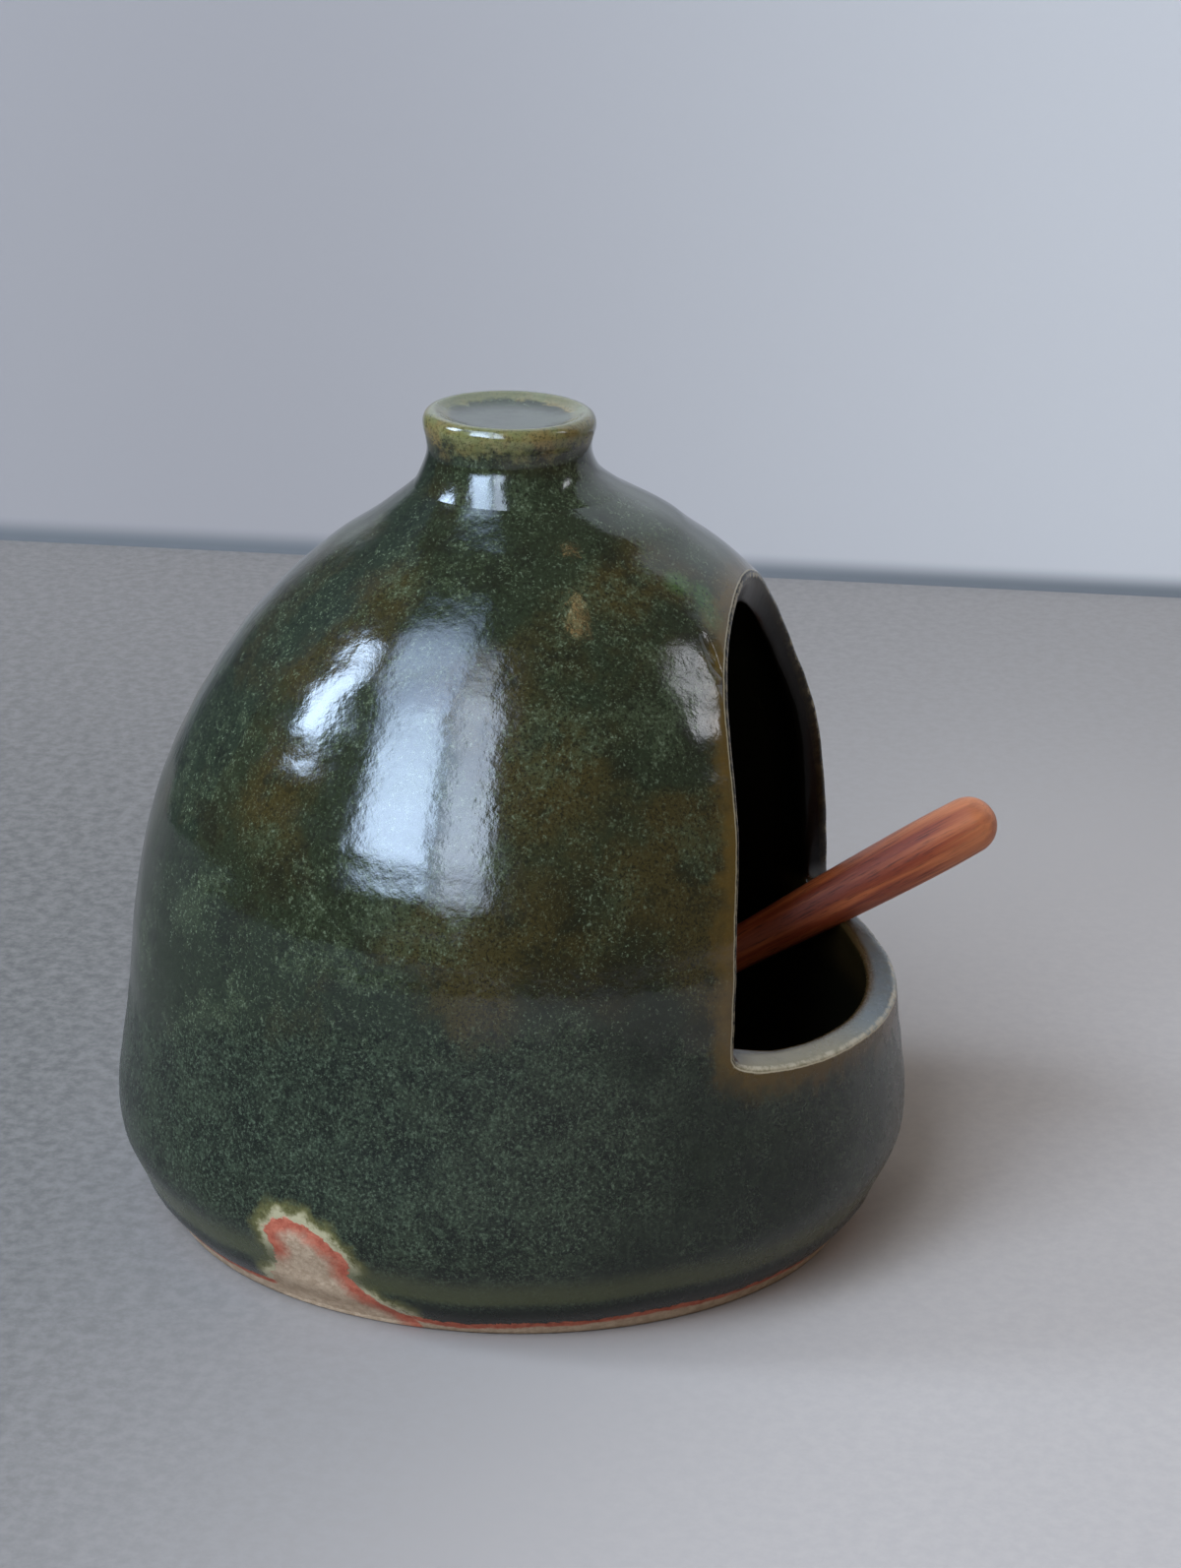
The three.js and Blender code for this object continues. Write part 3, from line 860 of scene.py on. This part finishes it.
knob_line = np.vstack([
    even_steps([(1.0, SKIRT_HEIGHT), (SKIRT_RADIUS, SKIRT_HEIGHT)], 10)[:-1],
    smooth_line(KNOB_LINE, 96),
])
knob_turn = (np.arange(KNOB_COLUMNS) * 2 * np.pi / KNOB_COLUMNS + np.pi) % (2 * np.pi) - np.pi
knob_points = turned_rows(knob_line, knob_turn).reshape(-1, 3)
knob_quads = grid_faces(0, np.zeros((len(knob_line), KNOB_COLUMNS), bool))
knob_triangles = np.concatenate([
    fan(0, KNOB_COLUMNS, len(knob_points), False),
    fan(len(knob_points) - KNOB_COLUMNS, KNOB_COLUMNS, len(knob_points) + 1, True),
])
knob_points = np.vstack([knob_points, (0.0, 0.0, SKIRT_HEIGHT), (0.0, 0.0, DISH_HEIGHT)])

# Its wall sways a little, as thrown clay does, and it leans back towards the top.
knob_out = np.hypot(knob_points[:, 0], knob_points[:, 1])
knob_sway = waves(knob_points, 16.0, 21) * KNOB_SWAY * np.clip((knob_points[:, 2] - 111.0) / 4.0, 0.0, 1.0)
knob_sway = np.where(knob_out > 6, knob_sway - 0.05, 0.0)
knob_points[:, :2] *= (1 + knob_sway / np.maximum(knob_out, 1.0))[:, None]
knob_points = set_back(knob_points)
knob_points[:, 1] += KNOB_LEAN * np.clip((knob_points[:, 2] - SEAT_HEIGHT) / 6.0, 0.0, 1.0)
knob = new_mesh("knob_turned", knob_points, knob_quads, knob_triangles)
for mark, amount in (
    ("edge_mm", FAR_OFF), ("patch_mm", -FAR_OFF), ("foot_mm", -FAR_OFF), ("over_mm", FAR_OFF),
    ("fold_mm", FOLD_FAR), ("amber", 0.0), ("deep", 0.0), ("leaf", 0.0), ("flush", 0.0),
):
    note(knob, mark, np.full(len(knob_points), amount))
on_bead = np.clip((knob_points[:, 2] - 116.0) / 4.0, 0.0, 1.2) * np.clip((knob_out - 8.0) / 2.0, 0.0, 1.0)
note(knob, "bead", on_bead)
note(knob, "ring", np.exp(-((knob_out - DISH_EDGE) / 1.5) ** 2) * (knob_points[:, 2] > 120.8))
knob.data.materials.append(glaze)
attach(knob, "pot")
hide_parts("knob")


# The spoon
# A small salt spoon turned and carved from one stick of red-brown hardwood, rubbed with
# oil. It stands on its bowl on the pot's floor, and its handle leans over the lip.

SPOON_FOOT = np.array([-10.08, 20.58, 7.3])
SPOON_HEADING = np.radians(-58.45)
SPOON_RISE = np.radians(23.52)
HANDLE_START = 9.5
HANDLE_END = 106.5
HANDLE_LENGTH = 111.1
HANDLE_ROOT_RISE = 0.6
TIP_RADIUS = 4.5
BOWL_RIM = 9.0
BOWL_FLOOR = 2.2
BOWL_OUTSIDE = [(5.2, 0.0), (8.6, 0.75), (11.0, 2.7), (12.1, 5.6), (12.42, 8.2)]
BOWL_INSIDE = [(10.6, 8.5), (10.1, 6.6), (8.7, 4.2), (6.0, 2.7), (3.0, 2.25), (0.8, BOWL_FLOOR)]
HANDLE_TAPER = [
    (HANDLE_START, 2.95), (30.0, 2.95), (55.0, 3.15), (65.5, 3.3), (81.0, 4.05), (94.0, 4.5),
    (102.0, 4.6), (HANDLE_END, TIP_RADIUS),
]
BOWL_COLUMNS = 120
HANDLE_COLUMNS = 56

bowl_line = np.vstack([
    even_steps([(0.8, 0.0), BOWL_OUTSIDE[0]], 5)[:-1],
    smooth_line(BOWL_OUTSIDE, 26),
    bezier(BOWL_OUTSIDE[-1], (12.4, BOWL_RIM), (11.6, BOWL_RIM), 6)[1:],
    bezier((11.6, BOWL_RIM), (10.75, BOWL_RIM), BOWL_INSIDE[0], 6)[1:-1],
    smooth_line(BOWL_INSIDE, 26),
])
bowl_turn = np.arange(BOWL_COLUMNS) * 2 * np.pi / BOWL_COLUMNS
bowl_points = np.stack([
    bowl_line[:, :1] * np.cos(bowl_turn),
    bowl_line[:, :1] * np.sin(bowl_turn),
    np.repeat(bowl_line[:, 1:], BOWL_COLUMNS, axis=1),
], axis=-1).reshape(-1, 3)

bowl_last = len(bowl_points) - BOWL_COLUMNS
spoon_points = np.vstack([bowl_points, (0.0, 0.0, 0.0), (0.0, 0.0, BOWL_FLOOR)])
spoon_quads = [grid_faces(0, np.zeros((len(bowl_line), BOWL_COLUMNS), bool))]
spoon_triangles = [
    fan(0, BOWL_COLUMNS, len(bowl_points), False),
    fan(bowl_last, BOWL_COLUMNS, len(bowl_points) + 1, True),
]

# The handle: rings along its axis. The first lies just inside the bowl's wall, each of its
# points where a line along the handle meets the wall, and the next ones swell towards it.
ROOT_SWELL = 1.5
ROOT_HEIGHTS = (1.2, 8.3)
ROOT_SUNK = 0.9
along = smooth_line(HANDLE_TAPER, 190)
tip = np.linspace(0.0, 0.985 * np.pi / 2, 16)[1:]
tip = np.stack([HANDLE_END + (HANDLE_LENGTH - HANDLE_END) * np.sin(tip), TIP_RADIUS * np.cos(tip)], axis=1)
along = np.vstack([along, tip])
handle_turn = np.arange(HANDLE_COLUMNS) * 2 * np.pi / HANDLE_COLUMNS
swollen = along[:, 1:] + ROOT_SWELL * np.exp(-(along[:, :1] - HANDLE_START) / 3.2)
side = swollen * np.sin(handle_turn)
lift = swollen * np.cos(handle_turn) * (1.0 - 0.10 * np.exp(-(along[:, :1] - HANDLE_START) / 6.0))
reach = np.repeat(along[:, :1], HANDLE_COLUMNS, axis=1)
flat_shift = np.cos(SPOON_RISE) * reach - np.sin(SPOON_RISE) * lift
up_shift = np.sin(SPOON_RISE) * reach + np.cos(SPOON_RISE) * lift + HANDLE_ROOT_RISE
start_height = np.clip(up_shift[0], *ROOT_HEIGHTS)
bowl_radius, bowl_height = np.transpose(BOWL_OUTSIDE)
wall_radius = np.interp(start_height, bowl_height, bowl_radius) - ROOT_SUNK
start_flat = np.sqrt(np.maximum(wall_radius ** 2 - side[0] ** 2, 1.0))
ease = np.exp(-((reach - HANDLE_START) / 2.6) ** 2)
flat_place = flat_shift + (start_flat - flat_shift[0]) * ease
up_place = up_shift + (start_height - up_shift[0]) * ease
# The knife left it a little uneven: a few shallow waves round it that drift along it.
carve = 1 + 0.012 * np.sin(3 * handle_turn + reach / 17.0) + 0.008 * np.sin(5 * handle_turn - reach / 9.0)
centre_up = np.sin(SPOON_RISE) * reach + HANDLE_ROOT_RISE
up_place = centre_up + (up_place - centre_up) * carve
handle_points = np.stack([flat_place, side * carve, up_place], axis=-1).reshape(-1, 3)
handle_start = len(spoon_points)
handle_rows = len(along)
root_centre = handle_points[:HANDLE_COLUMNS].mean(axis=0)
tip_centre = np.array([
    np.cos(SPOON_RISE) * HANDLE_LENGTH, 0.0, np.sin(SPOON_RISE) * HANDLE_LENGTH + HANDLE_ROOT_RISE,
])
spoon_points = np.vstack([spoon_points, handle_points, root_centre, tip_centre])
spoon_quads.append(grid_faces(handle_start, np.zeros((handle_rows, HANDLE_COLUMNS), bool)))
spoon_triangles += [
    fan(handle_start, HANDLE_COLUMNS, len(spoon_points) - 2, False),
    fan(handle_start + (handle_rows - 1) * HANDLE_COLUMNS, HANDLE_COLUMNS, len(spoon_points) - 1, True),
]

# Where each point lies along the stick, over its axis and beside it, for the grain.
grain_points = spoon_points - (0.0, 0.0, HANDLE_ROOT_RISE)
grain_along = grain_points[:, 0] * np.cos(SPOON_RISE) + grain_points[:, 2] * np.sin(SPOON_RISE)
grain_over = grain_points[:, 2] * np.cos(SPOON_RISE) - grain_points[:, 0] * np.sin(SPOON_RISE)
grain_side = spoon_points[:, 1]

# Turned to the way it leans and set down on the pot's floor.
heading = np.array([
    (np.cos(SPOON_HEADING), -np.sin(SPOON_HEADING), 0.0),
    (np.sin(SPOON_HEADING), np.cos(SPOON_HEADING), 0.0),
    (0.0, 0.0, 1.0),
])
spoon_points = spoon_points @ heading.T + SPOON_FOOT
spoon = new_mesh("spoon_carved", spoon_points, np.concatenate(spoon_quads), np.concatenate(spoon_triangles))
note(spoon, "along_mm", grain_along)
note(spoon, "over_mm", grain_over)
note(spoon, "side_mm", grain_side)
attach(spoon, "spoon")
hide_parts("spoon")

# Oiled red-brown hardwood: long fine grain and darker pores along the stick, paler and
# more orange at the worn round end, with a soft sheen.
wood, tree, shader = fresh_material("spoon_oiled_hardwood")
GRAIN_STRETCH = 20.0
along_stick, over_stick, beside_stick = (
    add(tree, "ShaderNodeAttribute", attribute_name=mark).outputs["Fac"]
    for mark in ("along_mm", "over_mm", "side_mm")
)
drawn_out = add(tree, "ShaderNodeMath", {0: along_stick, 1: GRAIN_STRETCH}, operation="DIVIDE").outputs[0]
grain_place = add(tree, "ShaderNodeCombineXYZ", {0: drawn_out, 1: over_stick, 2: beside_stick}).outputs[0]
bands = add(tree, "ShaderNodeTexNoise", {
    "Vector": grain_place, "Scale": 0.42, "Detail": 3.0, "Roughness": 0.55, "Distortion": 0.5,
}).outputs["Fac"]
pores = add(tree, "ShaderNodeTexNoise", {
    "Vector": grain_place, "Scale": 3.4, "Detail": 4.0, "Roughness": 0.7,
}).outputs["Fac"]
grain = coat(tree, "#8a391d", "#c06635", (bands, 0.36, 0.64))
grain = coat(tree, grain, "#45190f", (pores, 0.49, 0.34, 0.0, 0.75))
grain = coat(tree, grain, "#b0603e", (pores, 0.56, 0.74, 0.0, 0.5))
worn = frayed(tree, along_stick, bands, 0.3, 0.7, -5.0, 5.0)
grain = coat(tree, grain, "#c4794a", (worn, 92.0, 110.0, 0.0, 0.55))
tree.links.new(grain, shader.inputs["Base Color"])
tree.links.new(cover(tree, (pores, 0.3, 0.7, 0.5, 0.38)), shader.inputs["Roughness"])
bump = add(tree, "ShaderNodeBump", {"Height": pores, "Distance": 0.12 * MM, "Strength": 0.6})
tree.links.new(bump.outputs[0], shader.inputs["Normal"])
spoon.data.materials.append(wood)


# The table and the room
# A plain grey top and a pale wall behind it, which is clear from its back, lighter towards
# the right, with painted light high up, painted shade far to the left and a painted shadow
# along its foot. The light is a window of three panes at the left, its glow above it, a far
# window, a lamp and the room.

TABLE_SIZE = 3000.0
TABLE_TOP = -0.02
TABLE_GRAIN = 2.5
table = new_mesh("table", [
    (-TABLE_SIZE, -TABLE_SIZE, TABLE_TOP), (TABLE_SIZE, -TABLE_SIZE, TABLE_TOP),
    (TABLE_SIZE, TABLE_SIZE, TABLE_TOP), (-TABLE_SIZE, TABLE_SIZE, TABLE_TOP),
], [(0, 1, 2, 3)])
top, tree, shader = fresh_material("table_pale_grey")
place = add(tree, "ShaderNodeTexCoord").outputs["Object"]
backward, sideways, _ = add(tree, "ShaderNodeSeparateXYZ", {0: place}).outputs
table_grain = add(tree, "ShaderNodeTexNoise", {
    "Vector": place, "Scale": 1 / (TABLE_GRAIN * MM), "Detail": 4.0, "Roughness": 0.7,
}).outputs["Fac"]
table_colour = coat(tree, "#58524a", "#a89a8e", (sideways, 0.10, -0.08))
table_colour = coat(tree, table_colour, "#786e64", (backward, 0.05, 0.32, 0.0, 0.8))
table_colour = coat(tree, table_colour, "#968b81", (table_grain, 0.3, 0.7, 0.0, 0.35))
tree.links.new(table_colour, shader.inputs["Base Color"])
shader.inputs["Roughness"].default_value = 0.85
table.data.materials.append(top)

# Two places on the wall's line. From each it runs four times the way to the other.
WALL_LEFT = np.array([312.0, 195.0])
WALL_RIGHT = np.array([344.0, -72.0])
WALL_REACH = 4.0
WALL_FOOT = -1.0
WALL_TOP = 900.0
left_end = WALL_RIGHT + (WALL_LEFT - WALL_RIGHT) * WALL_REACH
right_end = WALL_LEFT + (WALL_RIGHT - WALL_LEFT) * WALL_REACH
backdrop = new_mesh("backdrop", [
    (*left_end, WALL_FOOT), (*right_end, WALL_FOOT), (*right_end, WALL_TOP), (*left_end, WALL_TOP),
], [(0, 1, 2, 3)])
paint, tree, shader = fresh_material("backdrop_grey_painted_light")
place = add(tree, "ShaderNodeTexCoord").outputs["Object"]
_, sideways, upward = add(tree, "ShaderNodeSeparateXYZ", {0: place}).outputs
wall_colour_and_light = coat(tree, "#9d938c", "#c2b9b0", (sideways, 0.16, -0.12))
# Painted light: the wall is painted pale high up, where the window lights it.
wall_colour_and_light = coat(tree, wall_colour_and_light, "#e8ded0", (upward, 0.13, 0.22))
# Painted shade: a dark band far to the left.
wall_colour_and_light = coat(tree, wall_colour_and_light, "#3a3836", (sideways, 0.205, 0.34))
# Painted shadow: a dark strip along the wall's foot.
wall_colour_and_light = coat(tree, "#6b6a68", wall_colour_and_light, (upward, 0.001, 0.006))
tree.links.new(wall_colour_and_light, shader.inputs["Base Color"])
shader.inputs["Roughness"].default_value = 0.8
behind = add(tree, "ShaderNodeNewGeometry").outputs["Backfacing"]
unseen = add(tree, "ShaderNodeBsdfTransparent").outputs[0]
one_sided = add(tree, "ShaderNodeMixShader", {0: behind, 1: shader.outputs[0], 2: unseen}).outputs[0]
tree.links.new(one_sided, tree.nodes["Material Output"].inputs["Surface"])
backdrop.data.materials.append(paint)

world = bpy.data.worlds.new("room")
bpy.context.scene.world = world
world.use_nodes = True
tree = world.node_tree
tree.nodes.clear()
room = add(tree, "ShaderNodeBackground", {"Color": colour("#efe0cc"), "Strength": 0.2}).outputs[0]
add(tree, "ShaderNodeOutputWorld", {"Surface": room})


PANE_STEPS = 12
PANE_DISTANCE = 2500.0
POT_MIDDLE = (0.0, 0.0, 60.0)


def pane(name, corners, radiance, tint, fading):
    """A glowing four-cornered pane round the pot, its corners given as (degrees round,
    degrees up). Its glow fades over its outer quarter, and by that share to its top."""
    round_, up = np.radians(np.array(corners, float)).T
    points = np.stack([np.cos(round_) * np.cos(up), np.sin(round_) * np.cos(up), np.sin(up)], axis=1)
    across, upright = np.meshgrid(np.linspace(0, 1, PANE_STEPS + 1), np.linspace(0, 1, PANE_STEPS + 1))
    across, upright = across.reshape(-1, 1), upright.reshape(-1, 1)
    grid = PANE_DISTANCE * (
        (1 - across) * (1 - upright) * points[0] + across * (1 - upright) * points[1]
        + across * upright * points[2] + (1 - across) * upright * points[3]
    ) + POT_MIDDLE
    corner = np.arange(PANE_STEPS)[:, None] * (PANE_STEPS + 1) + np.arange(PANE_STEPS)
    corner = corner.reshape(-1)
    quads = np.stack([corner, corner + 1, corner + PANE_STEPS + 2, corner + PANE_STEPS + 1], axis=1)
    panel = new_mesh(name, grid, quads)
    inward = np.minimum(np.minimum(across, 1 - across), np.minimum(upright, 1 - upright))[:, 0]
    note(panel, "glow", eased(inward, -0.03, 0.24) * (1 - fading * upright[:, 0]))
    light, tree, shader = fresh_material(name + "_glow")
    shader.inputs["Base Color"].default_value = colour("#000000")
    shader.inputs["Emission Color"].default_value = colour(tint)
    glow = add(tree, "ShaderNodeAttribute", attribute_name="glow").outputs["Fac"]
    strength = add(tree, "ShaderNodeMath", {0: glow, 1: radiance}, operation="MULTIPLY").outputs[0]
    tree.links.new(strength, shader.inputs["Emission Strength"])
    panel.data.materials.append(light)


pane("window_left", [(95, 24), (114, 27), (106, 53), (89, 48)], 29.0, "#c2daf8", 0.1)
pane("window_main", [(138, 17), (171, 15), (154, 62), (124, 55)], 25.0, "#c2daf8", 0.45)
pane("window_right", [(171, 12), (187, 16), (164, 75), (143, 70)], 16.0, "#c9daf2", 0.5)
pane("window_top", [(130, 40), (170, 46), (122, 80), (93, 59)], 15.0, "#bcd3f6", 0.7)
pane("far_window", [(-87, 30), (-78, 26), (-76, 42), (-83, 52)], 8.5, "#e9ebf2", 0.3)
pane("lamp", [(-106, 73), (-88, 77), (-80, 80), (-106, 77)], 5.5, "#ffcf90", 0.0)

# The camera stands where the photograph was taken. Its focal length is in pixels of the
# photograph's frame, and its place in millimetres.
FRAME_HEIGHT = 1593
FOCAL_LENGTH = 4400.4
SENSOR = 36.0
CAMERA_PLACE = (-592.2, -137.1, 278.6)
camera_data = bpy.data.cameras.new("camera")
camera_data.sensor_fit = "AUTO"
camera_data.sensor_width = SENSOR
camera_data.lens = FOCAL_LENGTH / FRAME_HEIGHT * SENSOR
camera_data.clip_end = 100
camera = bpy.data.objects.new("camera", camera_data)
bpy.context.scene.collection.objects.link(camera)
ahead = Vector((0.9229, 0.1963, -0.331)).normalized()
right = Vector((0.2155, -0.9761, 0.022)).normalized()
up = right.cross(ahead).normalized()
right = ahead.cross(up).normalized()
aimed = Matrix((right, up, -ahead)).transposed().to_4x4()
aimed.translation = Vector(CAMERA_PLACE) * MM
camera.matrix_world = aimed
bpy.context.scene.camera = camera
bpy.context.scene.view_settings.view_transform = "Standard"


def corners(box):
    """A box's lowest and highest corners as plain lists of numbers."""
    return [[float(v) for v in corner] for corner in box]
